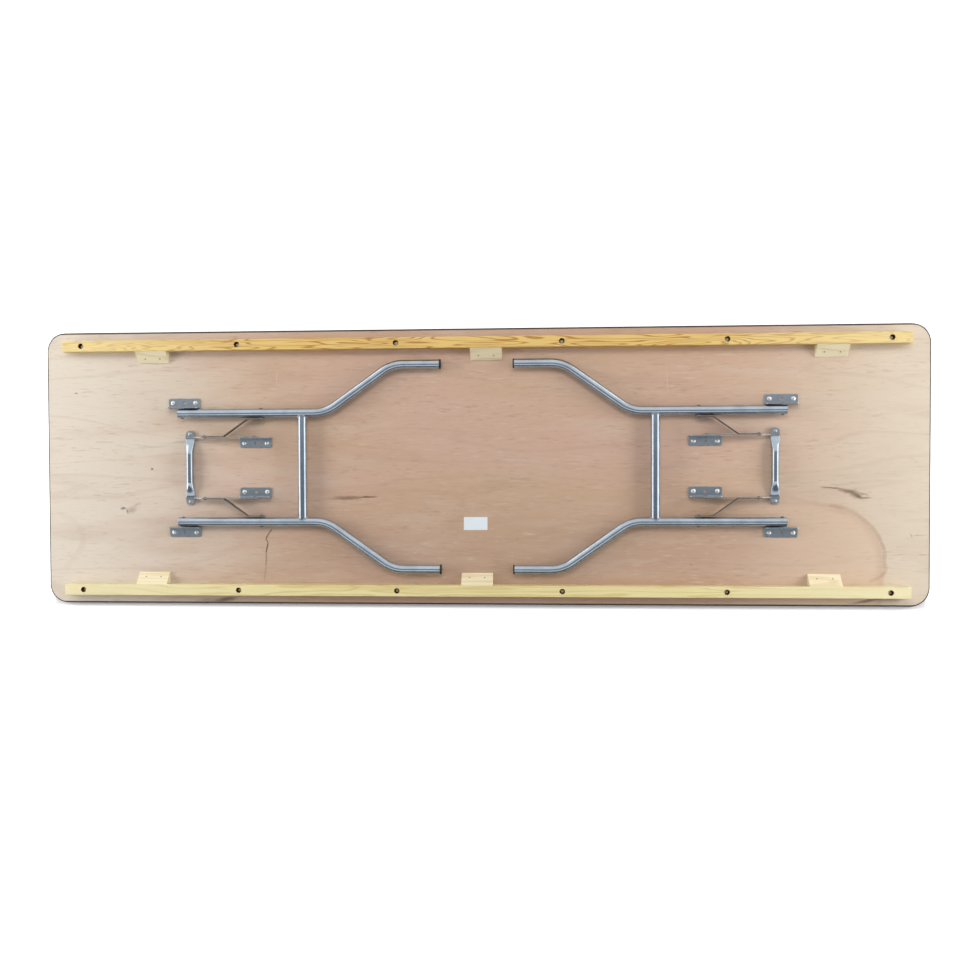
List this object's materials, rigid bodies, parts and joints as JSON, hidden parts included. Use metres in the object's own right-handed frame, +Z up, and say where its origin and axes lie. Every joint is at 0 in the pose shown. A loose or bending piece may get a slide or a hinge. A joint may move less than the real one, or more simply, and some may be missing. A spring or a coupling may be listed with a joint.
{
  "type": "folding table",
  "caption": "Rectangular plywood folding table lying on its top, with bent steel tube trestle legs and folding braces hinged on the underside between two rails.",
  "frame": {"origin": "on the table-top face, under the middle of the table as it lies upside down", "axes": "+X along the table to the right of the picture, +Y across the table to the top of the picture, +Z up out of the underside"},
  "size_m": [2.4384, 0.762, 0.051],
  "materials": {
    "plywood": "satin",
    "pine": "satin",
    "edge_band": "matte",
    "label": "matte paper",
    "fastener": "zinc plated",
    "foot": "matte",
    "tube_steel": "bright plated",
    "strap_steel": "zinc plated",
    "rivet_steel": "zinc plated"
  },
  "bodies": {
    "top": {"blank_label": "label", "block_nails": "fastener", "edge_band": "edge_band", "front_left_block": "pine", "front_middle_block": "pine", "front_rail": "pine", "front_right_block": "pine", "left_brace_rivets": "rivet_steel", "left_bracket_screws": "fastener", "left_front_brace_bracket": "strap_steel", "left_front_hinge_bracket": "strap_steel", "left_rear_brace_bracket": "strap_steel", "left_rear_hinge_bracket": "strap_steel", "plywood_panel": "plywood", "rail_screws": "fastener", "rear_left_block": "pine", "rear_middle_block": "pine", "rear_rail": "pine", "rear_right_block": "pine", "right_brace_rivets": "rivet_steel", "right_bracket_screws": "fastener", "right_front_brace_bracket": "strap_steel", "right_front_hinge_bracket": "strap_steel", "right_rear_brace_bracket": "strap_steel", "right_rear_hinge_bracket": "strap_steel"},
    "left_leg": {"left_crossbar": "tube_steel", "left_front_foot_cap": "foot", "left_front_leg_tube": "tube_steel", "left_hinge_rivets": "rivet_steel", "left_hinge_washers": "rivet_steel", "left_link_rivets": "rivet_steel", "left_link_spacers": "rivet_steel", "left_rear_foot_cap": "foot", "left_rear_leg_tube": "tube_steel"},
    "left_table_links": {"left_front_table_link": "strap_steel", "left_inner_knee_rivets": "rivet_steel", "left_rear_table_link": "strap_steel", "left_spreader_bar": "tube_steel", "left_spreader_bolts": "rivet_steel"},
    "left_leg_links": {"left_front_leg_link": "strap_steel", "left_outer_knee_rivets": "rivet_steel", "left_rear_leg_link": "strap_steel"},
    "right_leg": {"right_crossbar": "tube_steel", "right_front_foot_cap": "foot", "right_front_leg_tube": "tube_steel", "right_hinge_rivets": "rivet_steel", "right_hinge_washers": "rivet_steel", "right_link_rivets": "rivet_steel", "right_link_spacers": "rivet_steel", "right_rear_foot_cap": "foot", "right_rear_leg_tube": "tube_steel"},
    "right_table_links": {"right_front_table_link": "strap_steel", "right_inner_knee_rivets": "rivet_steel", "right_rear_table_link": "strap_steel", "right_spreader_bar": "tube_steel", "right_spreader_bolts": "rivet_steel"},
    "right_leg_links": {"right_front_leg_link": "strap_steel", "right_outer_knee_rivets": "rivet_steel", "right_rear_leg_link": "strap_steel"}
  },
  "joints": [
    {"name": "left_leg_fold", "type": "hinge", "parent": "top", "child": "left_leg", "pos_m": [-0.8237, 0, 0.037], "axis": [0, -1, 0], "range_deg": [0, 90]},
    {"name": "left_table_link_fold", "type": "hinge", "parent": "top", "child": "left_table_links", "pos_m": [-0.6212, 0, 0.037], "axis": [0, 1, 0], "range_deg": [0, 47.7]},
    {"name": "left_leg_link_fold", "type": "hinge", "parent": "left_leg", "child": "left_leg_links", "pos_m": [-0.6012, 0, 0.037], "axis": [0, -1, 0], "range_deg": [0, 42.31]},
    {"name": "right_leg_fold", "type": "hinge", "parent": "top", "child": "right_leg", "pos_m": [0.8237, 0, 0.037], "axis": [0, 1, 0], "range_deg": [0, 90]},
    {"name": "right_table_link_fold", "type": "hinge", "parent": "top", "child": "right_table_links", "pos_m": [0.6212, 0, 0.037], "axis": [0, -1, 0], "range_deg": [0, 47.7]},
    {"name": "right_leg_link_fold", "type": "hinge", "parent": "right_leg", "child": "right_leg_links", "pos_m": [0.6012, 0, 0.037], "axis": [0, 1, 0], "range_deg": [0, 42.31]}
  ],
  "couplings": [
    {"joint": "left_table_link_fold", "follows": "left_leg_fold", "ratio": 0.52994},
    {"joint": "left_leg_link_fold", "follows": "left_leg_fold", "ratio": 0.47006},
    {"joint": "right_table_link_fold", "follows": "right_leg_fold", "ratio": 0.52994},
    {"joint": "right_leg_link_fold", "follows": "right_leg_fold", "ratio": 0.47006}
  ]
}
